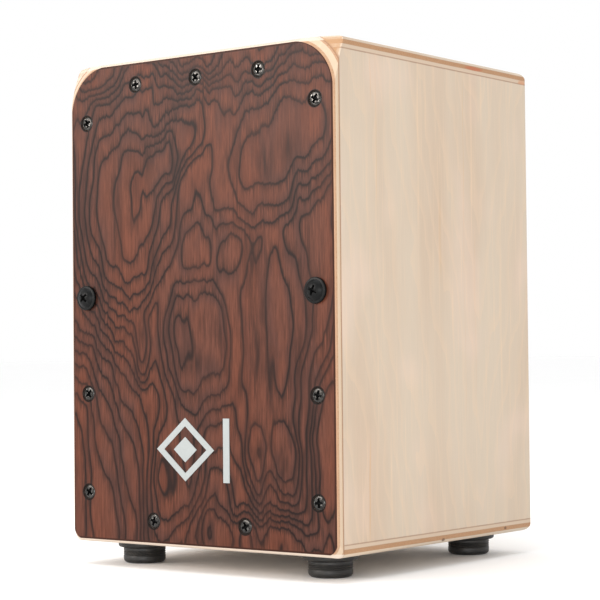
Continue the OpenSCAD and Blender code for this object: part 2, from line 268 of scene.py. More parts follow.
def outside(p):
    """1 where the wall of the box is, 0 over its hollow."""
    beyond_x = p.math("GREATER_THAN", p.math("ABSOLUTE", p.x), INNER_X)
    above = p.math("GREATER_THAN", p.z, CEILING_Z)
    below = p.math("LESS_THAN", p.z, FLOOR_Z)
    return p.math("MAXIMUM", beyond_x, p.math("MAXIMUM", above, below))


# Half widths of a glue joint: where it is darkest, and where it ends
SEAM_CORE, SEAM_EDGE = 0.12, 0.42
# A level edge is painted pale up to the first distance from the outside (mm), and no more at the second; at
# the top edge this is painted light from above
PALE_FULL, PALE_END = 1.4, 1.9


def front_seam(p):
    return p.math("MULTIPLY", p.near(p.y, BOX_Y, SEAM_CORE, SEAM_EDGE), outside(p))


def level_seams(p):
    upper = p.near(p.z, CEILING_Z, SEAM_CORE, SEAM_EDGE)
    lower = p.near(p.z, FLOOR_Z, SEAM_CORE, SEAM_EDGE)
    return p.math("MULTIPLY", p.math("MAXIMUM", upper, lower),
                  p.math("GREATER_THAN", p.math("ABSOLUTE", p.x), INNER_X))


def level_edge(p, colour):
    """The top and bottom edges of the playing face are painted paler than its upright edges; at the top this
    is painted light from above.
    """
    upper = p.span(p.z, TOP_Z - PALE_END, TOP_Z - PALE_FULL)
    lower = p.span(p.z, UNDER_Z + PALE_FULL, UNDER_Z + PALE_END, 1.0, 0.0)
    return p.mix(p.math("MULTIPLY", p.math("MAXIMUM", upper, lower), 0.75), colour, srgb(206, 194, 180))


def box_seams(p):
    return p.math("MAXIMUM", front_seam(p), level_seams(p))


THREE_PLIES = [(0.30, "face"), (0.66, "core"), (1.0, "inner")]

# Radius of the playing face's round corners, and how far behind it the box's corners are cut (mm)
CORNER_R = 20.0
FACET_END = 7.0


def spot(p, y, z, reach_y, reach_z):
    """1 at a place on a side edge, fading to 0 over its reach."""
    dy = p.math("DIVIDE", p.math("SUBTRACT", p.y, y), reach_y)
    dz = p.math("DIVIDE", p.math("SUBTRACT", p.z, z), reach_z)
    square = p.math("ADD", p.math("MULTIPLY", dy, dy), p.math("MULTIPLY", dz, dz))
    return p.span(square, 0.2, 1.0, 1.0, 0.0)


def facet(p, colour):
    """Warmer wood on the cut corners beside the round corners of the playing face."""
    dx = p.math("MAXIMUM", p.math("SUBTRACT", p.math("ABSOLUTE", p.x), HALF_W - CORNER_R), 0.0)
    dz = p.math("MAXIMUM", p.math("SUBTRACT", p.z, TOP_Z - CORNER_R), 0.0)
    beyond = p.span(p.hypot(dx, dz), CORNER_R, CORNER_R + 0.6)
    side_depth = p.math("SUBTRACT", HALF_W, p.math("ABSOLUTE", p.x))
    depth = p.math("MINIMUM", side_depth, p.math("SUBTRACT", TOP_Z, p.z))
    share = p.math("MULTIPLY", beyond, p.span(depth, 0.2, 1.0))
    in_front = p.span(p.y, BOX_Y + FACET_END - 0.5, BOX_Y + FACET_END + 0.5, 1.0, 0.0)
    share = p.math("MULTIPLY", share, in_front)
    streak = p.span(p.noise((0.9, 0.9, 0.9), 2, seed=17.0), 0.3, 0.7, 0.6, 0.85)
    tone = p.mix(p.math("GREATER_THAN", p.x, 0.0), srgb(198, 184, 166), srgb(172, 134, 98))
    return p.mix(p.math("MULTIPLY", share, streak), colour, tone)


def mark(p, colour, y, z, reach_y, reach_z, strength, tone):
    return p.mix(p.math("MULTIPLY", spot(p, y, z, reach_y, reach_z), strength), colour, tone)


def top_marks(p, colour):
    """The cut corners, a reddish streak along the upper edge, and a darker spot at its rear end."""
    colour = facet(p, colour)
    colour = mark(p, colour, 31, TOP_Z - 2.6, 9, 1.1, 0.7, srgb(170, 92, 62))
    return mark(p, colour, 72.5, TOP_Z - 4.7, 4, 1.6, 0.55, srgb(190, 120, 70))


def bottom_marks(p, colour):
    """Two small dark marks in the lower edge."""
    for y, height, reach_y, reach_z in ((2.0, 1.5, 1.6, 0.9), (53.2, 2.6, 1.3, 0.8)):
        colour = mark(p, colour, y, UNDER_Z + height, reach_y, reach_z, 0.8, srgb(92, 60, 40))
    return colour


# Long thin veins in the side panels: place y, lowest and highest z, half width, strength
VEINS = [
    (-52, 12, 62, 0.8, 0.5), (-49, 190, 222, 0.45, 0.45), (-45.5, 150, 222, 0.35, 0.3),
    (21.5, 60, 222, 0.35, 0.28), (2, 120, 165, 1.6, 0.2), (30, 60, 150, 0.6, 0.16),
]
VEIN_SWAY, VEIN_FADE = 3.0, 14


def side_marks(p, colour):
    """Pale flame figure and a few long thin veins on the face of a side panel."""
    bend = p.noise((0.0, 0.03, 0.012), 3, 0.5, seed=12.0)
    flame = p.math("ADD", p.math("MULTIPLY", p.math("ABSOLUTE", p.math("SUBTRACT", p.y, 34)), 0.05),
                   p.math("MULTIPLY", p.z, -0.011))
    rings = p.math("FRACT", p.math("MULTIPLY", p.math("ADD", flame, p.math("MULTIPLY", bend, 2.2)), 2.1))
    faint = p.math("MULTIPLY", p.span(rings, 0.55, 0.98), p.span(rings, 0.98, 1.0, 1.0, 0.0))
    colour = p.mix(p.math("MULTIPLY", faint, 0.22), colour, srgb(212, 184, 154))
    for y, low, high, half, share in VEINS:
        wander = p.noise((0, 0.02, 0.02), 2, seed=y)
        sway = p.math("MULTIPLY_ADD", wander, VEIN_SWAY, y - VEIN_SWAY / 2)
        vein = p.span(p.math("ABSOLUTE", p.math("SUBTRACT", p.y, sway)), 0.0, half, 1.0, 0.0)
        ends = p.math("MULTIPLY", p.span(p.z, low, low + VEIN_FADE),
                      p.span(p.z, high - VEIN_FADE, high, 1.0, 0.0))
        colour = p.mix(p.math("MULTIPLY", p.math("MULTIPLY", vein, ends), share), colour, srgb(196, 152, 104))
    pink = p.noise((0.012, 0.03, 0.02), 2, seed=4.0)
    colour = facet(p, colour)
    return p.mix(p.span(pink, 0.5, 0.75, 0.0, 0.22), colour, srgb(226, 196, 182))


TOP_PLY = plywood("top_plywood", lambda p: p.math("SUBTRACT", TOP_Z, p.z), PANEL_T, "Y", "X",
                  THREE_PLIES, box_seams, top_marks)
BOTTOM_PLY = plywood("bottom_plywood", lambda p: p.math("SUBTRACT", p.z, UNDER_Z), PANEL_T, "Y", "X",
                     THREE_PLIES, box_seams, bottom_marks)
SIDE_PLY = plywood("side_plywood", lambda p: p.math("SUBTRACT", HALF_W, p.math("ABSOLUTE", p.x)),
                   PANEL_T, "Z", "Y", THREE_PLIES, box_seams, side_marks)
REAR_PLY = plywood("rear_plywood", lambda p: p.math("SUBTRACT", rear_high.y, p.y),
                   rear_high.y - rear_low.y, "Z", "X",
                   [(0.3, "face"), (0.7, "core"), (1.0, "face")], face=srgb(196, 178, 152))
# its top and bottom edges are painted paler, painted light at the top
TAPA_PLY = plywood("tapa_plywood", lambda p: p.math("SUBTRACT", p.y, FRONT_Y),
                   BOX_Y - FRONT_Y, "Z", "X", [(0.30, "tan"), (0.80, "face"), (1.0, "tan")],
                   front_seam, level_edge, face=srgb(196, 173, 146))


# ---------------------------------------------------------------- burl veneer

# The figure is a terrain, and its dark lines are the terrain's contours. Each hill: place x, z, half width,
# half height, lean in degrees, and how high it stands.
HILLS = [
    (47, 181, 44, 26, -34, 7.6),
    (-38, 158, 29, 58, 5, 6.6),
    (-6, 187, 27, 13, -42, 4.0),
    (-97, 38, 62, 88, -16, -9.6),
    (-2, 97, 16, 30, 0, 5.2),
    (40, 98, 25, 50, 3, 4.0),
    (48, 49, 8, 17, -4, 2.6),
    (31, 48, 6, 16, 0, 2.4),
    (70, 60, 8, 52, 3, -3.0),
    (58, 98, 6, 30, 0, -1.4),
    (34, 12, 42, 14, 6, -3.6),
    (-4, 224, 24, 17, 0, -2.4),
    (-30, 91, 6, 14, 0, 2.4),
    (-18, 36, 18, 30, 20, 2.8),
    (6, 30, 11, 18, 0, -2.0),
    (-58, 218, 14, 12, 20, -2.4),
]

# Soft grey stains along the grain: place x, z, half width, half height
STAINS = [
    (38, 172, 5, 8), (51, 178, 6, 8), (-35, 172, 3.5, 14), (-27, 181, 2.5, 12), (-46, 152, 3, 22),
    (-24, 131, 4, 12), (30, 130, 4, 14), (36, 102, 3, 18), (54, 90, 3, 16), (-2, 89, 9, 5),
    (47, 45, 3.5, 10), (17, 31, 2, 2.5), (7, 20, 1.6, 4), (29, 32, 3, 8),
]


# Distance over which the terrain's slope is taken (mm), and the least slope in contour steps per mm
SLOPE_STEP, LEAST_SLOPE = 0.4, 0.10


def mound(p, place, x, z, across, length, lean=0.0):
    """The squared distance from a hill's centre, as a share of its size."""
    local = p.add("Mapping", {"Vector": place, "Location": (x, 0, z), "Rotation": (0, math.radians(lean), 0),
                              "Scale": (across, 1e6, length)}, vector_type="TEXTURE").outputs[0]
    return p.vector("DOT_PRODUCT", local, local)


def terrain():
    """The height of the figure's terrain, in contour steps."""
    p = Figure("burl_terrain")
    drift = p.vector("SUBTRACT", p.noise((0.035, 0.0, 0.022), 1, 0.5, seed=2.0, colour=True), (0.5, 0.5, 0.5))
    wave = p.vector("SUBTRACT", p.noise((0.13, 0.0, 0.06), 1, 0.5, seed=6.0, colour=True), (0.5, 0.5, 0.5))
    drag = p.math("MULTIPLY_ADD", p.noise((0.75, 0.0, 0.05), 3, 0.65, seed=8.0), 3.2, -1.6)
    bent = p.vector("ADD", p.place, p.vector("MULTIPLY", drift, (12, 0, 16)))
    bent = p.vector("ADD", bent, p.vector("MULTIPLY", wave, (3, 0, 6)))
    bent = p.vector("ADD", bent, p.add("CombineXYZ", {2: drag}).outputs[0])
    height = p.math("MULTIPLY", p.noise((0.030, 0.0, 0.014), 1, 0.5, place=bent, seed=4.4), 3.0)
    calm = p.span(mound(p, bent, *HILLS[0][:5]), 0.2, 1.2, 0.3, 1.0)
    ripple = p.math("MULTIPLY", p.noise((0.085, 0.0, 0.013), 1, 0.5, place=bent, seed=9.4), 3.8)
    height = p.math("MULTIPLY_ADD", ripple, calm, height)
    for x, z, across, length, lean, step in HILLS:
        far = p.math("POWER", mound(p, bent, x, z, across, length, lean), 1.6)
        height = p.math("MULTIPLY_ADD", p.math("EXPONENT", p.math("MULTIPLY", far, -1.0)), step, height)
    return p.give(height)


def contour(p):
    """Distances in millimetres from the nearest contour line below and the nearest one above."""
    tree = terrain()
    here = p.group(tree, p.place)
    rise_x = p.math("SUBTRACT", p.group(tree, p.vector("ADD", p.place, (SLOPE_STEP, 0, 0))), here)
    rise_z = p.math("SUBTRACT", p.group(tree, p.vector("ADD", p.place, (0, 0, SLOPE_STEP))), here)
    slope = p.math("MAXIMUM", p.math("DIVIDE", p.hypot(rise_x, rise_z), SLOPE_STEP), LEAST_SLOPE)
    phase = p.math("FRACT", here)
    return p.math("DIVIDE", phase, slope), p.math("DIVIDE", p.math("SUBTRACT", 1.0, phase), slope)


def burl():
    p = Paint("burl_veneer")
    over, under_line = contour(p)
    ragged = p.noise((1.5, 0.0, 0.09), 2, 0.6, seed=61.0)
    core = p.math("MAXIMUM", p.span(over, 0.0, 1.0, 1.0, 0.0), p.span(under_line, 0.1, 1.6, 1.0, 0.0))
    reach = p.span(ragged, 0.3, 0.68, 0.9, 6.6)
    soft = p.math("POWER", p.span(p.math("DIVIDE", under_line, reach), 0.0, 1.0, 1.0, 0.0, smooth=False), 1.5)
    halo = p.math("POWER", p.span(over, 0.0, 2.6, 1.0, 0.0, smooth=False), 1.5)
    line = p.math("MAXIMUM", core,
                  p.math("MAXIMUM", p.math("MULTIPLY", soft, 0.82), p.math("MULTIPLY", halo, 0.5)))
    weight = p.span(p.noise((0.05, 0.0, 0.03), 2, seed=1.0), 0.3, 0.6, 0.8, 1.0)
    line = p.math("MULTIPLY", line, weight)
    stain = 0.0
    for x, z, across, length in STAINS:
        fall = p.math("EXPONENT", p.math("MULTIPLY", mound(p, p.place, x, z, across, length), -1.0))
        stain = p.math("MAXIMUM", stain, fall)
    patchy = p.noise((0.45, 0.0, 0.05), 3, 0.6, seed=71.0)
    stain = p.math("MULTIPLY", stain, p.span(patchy, 0.3, 0.62, 0.15, 0.75))
    line = p.math("MAXIMUM", line, stain)

    hue = p.noise((0.05, 0.0, 0.018), 3, 0.55, seed=21.0)
    ground = p.mix(p.span(hue, 0.35, 0.65), BURL_RED, BURL_GREY)
    ground = p.mix(p.span(over, 1.0, 6.0, 0.0, 0.5), ground, BURL_LIGHT)
    fibre = p.noise((2.3, 0.0, 0.05), 3, 0.65, seed=31.0)
    fleck = p.noise((0.95, 0.0, 0.11), 3, 0.6, seed=36.0)
    grain = p.math("MULTIPLY", p.span(fibre, 0.25, 0.75, 0.84, 1.14), p.span(fleck, 0.3, 0.7, 0.84, 1.14))
    ground = p.scaled(ground, grain)
    colour = p.mix(p.math("MULTIPLY", line, 0.95), ground, BURL_LINE)
    pore = p.span(p.noise((3.4, 0.0, 0.22), 2, 0.5, seed=41.0), 0.66, 0.74, 0.0, 0.4)
    colour = p.mix(pore, colour, BURL_PORE)

    # the veneer is sanded through where the edge rounds over, and is darkest along that line
    under = p.math("SUBTRACT", p.y, FRONT_Y)
    sanded = p.span(p.noise((1.2, 1.2, 0.08), 3, seed=51.0), 0.3, 0.7)
    edge = p.mix(sanded, srgb(176, 140, 112), srgb(166, 128, 100))
    dark_edge = p.math("MULTIPLY", p.span(under, 0.0, 0.012), p.span(under, 0.16, 0.24, 1.0, 0.0))
    # the ply at the top and bottom edges is painted paler, painted light at the top
    colour = p.mix(p.span(under, 0.16, 0.24), colour, level_edge(p, edge))
    colour = p.mix(p.math("MULTIPLY", dark_edge, 0.92), colour, BURL_RIM)
    # painted shade: the countersink gap round each screw head, near black
    for cx, cz in SCREW_PLACES:
        far = p.hypot(p.math("SUBTRACT", p.x, cx), p.math("SUBTRACT", p.z, cz))
        colour = p.mix(p.span(far, SINK_SHADE_R, SINK_SHADE_R + 0.5, 0.97, 0.0), colour, srgb(12, 8, 7))
    height = p.math("ADD", p.math("MULTIPLY", fibre, 0.7), p.math("MULTIPLY", pore, -1.0))
    rough = p.span(fibre, 0.2, 0.8, 0.33, 0.44)
    return p.finish(colour, rough, height, depth_mm=0.03, strength=0.35, Specular_IOR_Level=0.11)


def screw_places():
    """Centres of the tapa screws, found as separate parts of their CAD node: (x, z) in millimetres."""
    mesh = bmesh.new()
    mesh.from_mesh(nodes["tapa_screws"].data)
    bmesh.ops.remove_doubles(mesh, verts=mesh.verts, dist=1e-6)
    left, places = set(mesh.verts), []
    while left:
        group, queue = [], [left.pop()]
        while queue:
            v = queue.pop()
            group.append(v.co.copy())
            for e in v.link_edges:
                other = e.other_vert(v)
                if other in left:
                    left.remove(other)
                    queue.append(other)
        xs, zs = [c.x for c in group], [c.z for c in group]
        places.append(((min(xs) + max(xs)) / 2 / MM, (min(zs) + max(zs)) / 2 / MM))
    mesh.free()
    return sorted(places, key=lambda q: (round(q[1], 1), q[0]))


SCREW_PLACES = screw_places()
# The veneer is painted near black within this radius of a screw's centre (mm): painted shade in the
# countersink gap round each head, fading out just beyond it
SINK_SHADE_R = 3.5


# ---------------------------------------------------------------- metal, rubber, wood and foil

def metal(name, dark, light, rough_low, rough_high, worn=None, metallic=1.0, gloss=0.5):
    p = Paint(name)
    blotch = p.noise((0.9, 0.9, 0.9), 4, 0.6, seed=3.0)
    scratch = p.noise((5.4, 0.54, 5.4), 3, 0.7, seed=13.0)
    colour = p.mix(p.span(blotch, 0.3, 0.7), dark, light)
    if worn is not None:
        edge = p.add("NewGeometry").outputs["Pointiness"]
        rub = p.math("MULTIPLY", p.span(edge, 0.52, 0.58), p.span(scratch, 0.35, 0.6))
        colour = p.mix(rub, colour, worn)
    rough = p.span(scratch, 0.25, 0.75, rough_low, rough_high)
    return p.finish(colour, rough, scratch, depth_mm=0.02, strength=0.35, Metallic=metallic,
                    Specular_IOR_Level=gloss)


BLACK_SCREW = metal("black_screw", srgb(38, 37, 36), srgb(76, 75, 73), 0.2, 0.36, worn=srgb(150, 148, 144))
BLACK_DOME = metal("black_dome", srgb(7, 8, 8), srgb(13, 14, 14), 0.3, 0.46, worn=srgb(30, 31, 31),
                   metallic=0.0, gloss=0.14)
# Near-black, matt faces inside the driver recesses: painted shade
RECESS_SHADE = metal("driver_recess_shade", srgb(5, 5, 5), srgb(10, 10, 10), 0.5, 0.7, metallic=0.0, gloss=0.2)
ZINC = metal("zinc_steel", srgb(176, 178, 180), srgb(206, 207, 208), 0.26, 0.42)
SNARE_STEEL = metal("snare_steel", srgb(168, 169, 170), srgb(200, 201, 201), 0.2, 0.34)
BRASS = metal("insert_brass", srgb(196, 154, 72), srgb(222, 184, 100), 0.24, 0.38)


def rubber():
    p = Paint("foot_rubber")
    grain = p.noise((3.0, 3.0, 3.0), 3, 0.6, seed=2.0)
    dust = p.noise((0.35, 0.35, 0.35), 4, 0.6, seed=5.0)
    colour = p.mix(p.span(dust, 0.45, 0.75, 0.0, 0.6), srgb(24, 23, 22), srgb(46, 44, 41))
    rough = p.span(grain, 0.3, 0.7, 0.42, 0.6)
    return p.finish(colour, rough, grain, depth_mm=0.05, strength=0.4, Specular_IOR_Level=0.5)


def plain_wood(name, grain, light, dark, ring, fleck):
    p = Paint(name)
    rings = p.noise(along(grain, 0.22, 0.006), 3, 0.5, seed=2.2)
    lines = p.math("FRACT", p.math("MULTIPLY", rings, 13.0))
    fine = p.noise(along(grain, 2.6, 0.05), 3, 0.6, seed=6.2)
    colour = p.mix(p.span(lines, 0.35, 0.95), light, dark)
    colour = p.mix(p.span(fine, 0.6, 0.72, 0.0, fleck), colour, ring)
    height = p.math("ADD", fine, p.math("MULTIPLY", lines, 0.3))
    return p.finish(colour, p.span(fine, 0.2, 0.8, 0.58, 0.72), height, depth_mm=0.06, strength=0.5,
                    Specular_IOR_Level=0.3)


PINE = (srgb(224, 194, 146), srgb(204, 162, 108), srgb(170, 118, 70), 0.35)
PINE_UPRIGHT = plain_wood("batten_upright", "Z", *PINE)
PINE_LEVEL = plain_wood("batten_level", "X", *PINE)
BEECH = plain_wood("bar_beech", "X", srgb(206, 160, 118), srgb(190, 140, 98), srgb(132, 84, 52), 0.55)


def foil():
    p = Paint("silver_foil")
    speckle = p.noise((5.0, 5.0, 5.0), 3, 0.6, seed=1.0)
    cloud = p.noise((0.12, 0.12, 0.12), 3, 0.5, seed=8.0)
    colour = p.mix(p.span(speckle, 0.3, 0.7), srgb(147, 152, 151), srgb(155, 160, 159))
    colour = p.scaled(colour, p.span(cloud, 0.3, 0.7, 0.97, 1.02))
    return p.finish(colour, p.span(speckle, 0.3, 0.7, 0.4, 0.52), speckle, depth_mm=0.01, strength=0.3)


BURL = burl()
RUBBER = rubber()
FOIL = foil()


# ---------------------------------------------------------------- meshes

# The sharpest bend that still shades smooth on turned screws, in degrees
SCREW_SMOOTH = 34
# The driver recess of every screw lies within this radius
RECESS_R = 2.7


def made(name, mesh, material, smooth_deg=32):
    """An object from a bmesh, smooth apart from its sharp edges."""
    bmesh.ops.recalc_face_normals(mesh, faces=mesh.faces)
    data = bpy.data.meshes.new(name)
    mesh.to_mesh(data)
    mesh.free()
    data.materials.append(material)
    shade(data, smooth_deg)
    obj = bpy.data.objects.new(name, data)
    bpy.context.scene.collection.objects.link(obj)
    return obj


def shade(data, smooth_deg):
    data.shade_smooth()
    data.set_sharp_from_angle(angle=math.radians(smooth_deg))


def lathe(mesh, profile, place=Matrix.Identity(4), around=96):
    """Turns a profile of (radius, height) in millimetres about +Z. Points on the axis stay single."""
    rings = []
    for radius, height in profile:
        if radius < 1e-6:
            rings.append([mesh.verts.new(place @ Vector((0, 0, height * MM)))])
            continue
        turn = [2 * math.pi * k / around for k in range(around)]
        ring = [Vector((radius * math.cos(a), radius * math.sin(a), height)) * MM for a in turn]
        rings.append([mesh.verts.new(place @ point) for point in ring])
    for low, high in zip(rings, rings[1:]):
        for k in range(around):
            n = (k + 1) % around
            if len(low) == 1:
                mesh.faces.new((low[0], high[k], high[n]))
            elif len(high) == 1:
                mesh.faces.new((low[k], high[0], low[n]))
            else:
                mesh.faces.new((low[k], high[k], high[n], low[n]))


def arc(cx, cz, radius, start_deg, end_deg, steps):
    """Points on an arc in a profile, as (radius, height)."""
    turn = [math.radians(start_deg + (end_deg - start_deg) * k / steps) for k in range(steps + 1)]
    return [(cx + radius * math.cos(a), cz + radius * math.sin(a)) for a in turn]


def cross_cutter(length, width, depth):
    """The shape of a Phillips driver, point down from z = 0, in millimetres."""
    mesh = bmesh.new()
    for turn in (0, 90):
        spin = Matrix.Rotation(math.radians(turn), 4, "Z")
        corners = []
        for z, share_l, share_w in ((-1.0, 1.0, 1.0), (0.0, 1.0, 1.0), (depth, 0.55, 0.62)):
            l, w = length / 2 * share_l, width / 2 * share_w
            corners.append([mesh.verts.new(spin @ (Vector((sx * l, sy * w, z)) * MM))
                            for sx, sy in ((-1, -1), (1, -1), (1, 1), (-1, 1))])
        mesh.faces.new(corners[0])
        mesh.faces.new(corners[-1])
        for a, b in zip(corners, corners[1:]):
            for k in range(4):
                n = (k + 1) % 4
                mesh.faces.new((a[k], a[n], b[n], b[k]))
    lathe(mesh, [(0, -1.0), (width * 0.95, -1.0), (width * 0.95, 0.0), (width * 0.45, depth * 0.9),
                 (0, depth * 1.25)], around=24)
    return mesh


def carved(name, profile, cutter, material, around=64):
    """A turned mesh with a driver recess taken out of it, as plain mesh data. Its head faces -Z."""
    body_mesh = bmesh.new()
    lathe(body_mesh, profile, around=around)
    body = made(name + "_blank", body_mesh, material)
    tool = made(name + "_tool", cutter, material)
    cut = body.modifiers.new("cut", "BOOLEAN")
    cut.operation = "DIFFERENCE"
    cut.solver = "EXACT"
    cut.object = tool
    cut.use_self = True
    soften = body.modifiers.new("soften", "BEVEL")
    soften.width = 0.06 * MM
    soften.segments = 2
    soften.limit_method = "ANGLE"
    soften.angle_limit = math.radians(38)
    bpy.context.view_layer.update()
    data = bpy.data.meshes.new_from_object(body.evaluated_get(bpy.context.evaluated_depsgraph_get()))
    data.name = name
    for o in (body, tool):
        bpy.data.objects.remove(o)
    # the faces inside the driver recess get the near-black material, painted shade
    data.materials.append(RECESS_SHADE)
    for face in data.polygons:
        radius, depth = math.hypot(face.center.x, face.center.y) / MM, face.center.z / MM
        under_face = depth > head_height(profile, radius) + 0.1
        inside = radius < RECESS_R and under_face and depth < profile[0][1] + 3
        face.material_index = 1 if inside else 0
    shade(data, SCREW_SMOOTH)
    return data


def head_height(profile, radius):
    """The height of a turned head's outer face at a radius, from the first points of its profile."""
    for (r0, z0), (r1, z1) in zip(profile, profile[1:]):
        if r0 <= radius <= r1 and r1 > r0:
            return z0 + (z1 - z0) * (radius - r0) / (r1 - r0)
    return profile[0][1]


def gathered(name, copies):
    """One object from (mesh data, matrix) pairs."""
    mesh = bmesh.new()
    for data, place in copies:
        piece = data.copy()
        piece.transform(place)
        mesh.from_mesh(piece)
        bpy.data.meshes.remove(piece)
    result = bpy.data.meshes.new(name)
    mesh.to_mesh(result)
    mesh.free()
    for m in copies[0][0].materials:
        result.materials.append(m)
    shade(result, SCREW_SMOOTH)
    obj = bpy.data.objects.new(name, result)
    bpy.context.scene.collection.objects.link(obj)
    return obj


def facing_front(x, y, z, turn_deg=0.0):
    """Puts a shape made with its head at -Z so that the head faces the front, at a place in millimetres."""
    return (Matrix.Translation(Vector((x, y, z)) * MM) @ Matrix.Rotation(math.radians(-90), 4, "X")
            @ Matrix.Rotation(math.radians(turn_deg), 4, "Z"))


# Turn of the first recess of a set of screws, and from each to the next, in degrees
TAPA_TURN, TAPA_TURN_STEP = 17, 53
FOOT_TURN, FOOT_TURN_STEP = 20, 61

# Tapa screws: raised countersunk heads, a little sunk, with a worn face
small_screw = carved(
    "small_screw",
    [(0, -0.12), (0.9, -0.115), (1.7, -0.07), (2.4, 0.03), (2.75, 0.12), (2.95, 0.24), (3.05, 0.40),
     (3.02, 0.52), (1.75, 1.75), (1.75, 11.5), (0.3, 14.0), (0, 14.0)],
    cross_cutter(4.1, 1.15, 1.6), BLACK_SCREW)
tapa_y = box_mm("tapa_screws")[0].y
tapa_screws = gathered("tapa_screw_set", [
    (small_screw, facing_front(x, tapa_y + 0.05, z, TAPA_TURN + TAPA_TURN_STEP * k))
    for k, (x, z) in enumerate(SCREW_PLACES)])
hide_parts("tapa_screws")
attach(tapa_screws, "case")


def thread(mesh, radius, root, pitch, start, end, around=28):
    """A helical screw thread from start to end along +Z, closed at both ends, in millimetres."""
    per_turn = 8
    rows = int((end - start) / pitch * per_turn)
    rings = []
    for row in range(rows + 1):
        z = start + (end - start) * row / rows
        ring = []
        for k in range(around):
            a = 2 * math.pi * k / around
            phase = (z / pitch - k / around) % 1.0
            ridge = 1 - abs(2 * phase - 1)
            fade = min(1.0, row / per_turn, (rows - row) / per_turn)
            r = root + (radius - root) * ridge * fade
            ring.append(mesh.verts.new(Vector((r * math.cos(a), r * math.sin(a), z)) * MM))
        rings.append(ring)
    for low, high in zip(rings, rings[1:]):
        for k in range(around):
            n = (k + 1) % around
            mesh.faces.new((low[k], low[n], high[n], high[k]))
    mesh.faces.new(rings[0])
    mesh.faces.new(rings[-1])


# The adjusters' M5 thread: radius over the ridges, radius at the root, pitch
THREAD_R, ROOT_R, PITCH = 2.49, 2.1, 0.8


# Adjuster screws: domed heads on a flange, over a threaded shank
def adjuster(node, turn_deg):
    low, high = box_mm(node)
    x, z = (low.x + high.x) / 2, (low.z + high.z) / 2
    head_r = (high.x - low.x) / 2
    head_h = FRONT_Y - low.y
    dome_r, flange_top, flange_under, shank_r = 4.3, -1.5, -0.30, 2.45
    rim = head_r - 0.42
    profile = (
        [(0, -head_h), (1.2, -head_h + 0.10), (2.3, -head_h + 0.36), (3.2, -head_h + 0.76),
         (3.8, -head_h + 1.14), (4.15, -head_h + 1.5), (dome_r, flange_top - 0.1),
         (dome_r + 0.12, flange_top), (rim, flange_top + 0.05)]
        + arc(rim, flange_top + 0.45, 0.4, -90, 0, 6)
        + [(head_r, flange_under - 0.12), (head_r - 0.12, flange_under), (shank_r + 0.15, flange_under),
           (shank_r, 0.0), (shank_r, 3.0), (0, 3.0)])
    recess = shifted(cross_cutter(4.9, 1.15, 2.1), -head_h + 0.1)
    head = carved(node + "_head", profile, recess, BLACK_DOME, around=96)
    shank_mesh = bmesh.new()
    thread(shank_mesh, THREAD_R, ROOT_R, PITCH, 2.0, high.y - FRONT_Y - 0.05)
    shank = bpy.data.meshes.new(node + "_shank")
    bmesh.ops.recalc_face_normals(shank_mesh, faces=shank_mesh.faces)
    shank_mesh.to_mesh(shank)
    shank_mesh.free()
    shank.materials.append(BLACK_DOME)
    place = facing_front(x, FRONT_Y, z, turn_deg)
    piece = gathered(node.replace("_screw", "_detail"), [(head, place), (shank, place)])
    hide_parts(node)
    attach(piece, node.replace("_screw", ""))


def shifted(mesh, height):
    """The same bmesh, moved along Z by a height in millimetres."""
    bmesh.ops.translate(mesh, verts=mesh.verts, vec=Vector((0, 0, height * MM)))
    return mesh


adjuster("left_adjuster_screw", 45)
adjuster("right_adjuster_screw", 22)


def centre_of(node):
    """The middle of a node's box seen from above: (x, y) in millimetres."""
    low, high = box_mm(node)
    return (low.x + high.x) / 2, (low.y + high.y) / 2


# Feet: moulded rubber with a flange, a groove under it and a ringed toe
def foot(node):
    low, high = box_mm(node)
    cx, cy = centre_of(node)
    top = high.z
    flange_r = (high.x - low.x) / 2
    body_r = 9.5
    profile = (
        [(1.8, top - 0.02), (flange_r - 0.7, top - 0.02)]
        + arc(flange_r - 0.7, top - 0.72, 0.7, 90, 0, 6)
        + [(flange_r, top - 2.2)]
        + arc(flange_r - 1.0, top - 2.3, 1.0, 0, -80, 7)
        + [(body_r + 0.35, top - 3.42), (body_r - 0.12, top - 3.75), (body_r - 0.18, top - 4.0)]
        + [(body_r - 0.05, top - 4.35)]
        + [(body_r - (0.30 if k % 2 else 0.06), top - 4.7 - 0.45 * k) for k in range(7)]
        + arc(body_r - 2.0, 2.0, 1.9, 8, -82, 10)
        + [(6.6, 0.04), (6.2, 0.0), (5.1, 0.0), (4.75, 0.18), (4.6, 0.6), (4.6, 6.0), (1.8, 6.0),
           (1.8, top - 0.02)]
    )
    mesh = bmesh.new()
    lathe(mesh, profile, Matrix.Translation(Vector((cx, cy, 0)) * MM), around=112)
    bmesh.ops.remove_doubles(mesh, verts=mesh.verts, dist=1e-7)
    piece = made(node + "_moulding", mesh, RUBBER, 40)
    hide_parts(node)
    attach(piece, "case")


for foot_node in FEET:
    foot(foot_node)


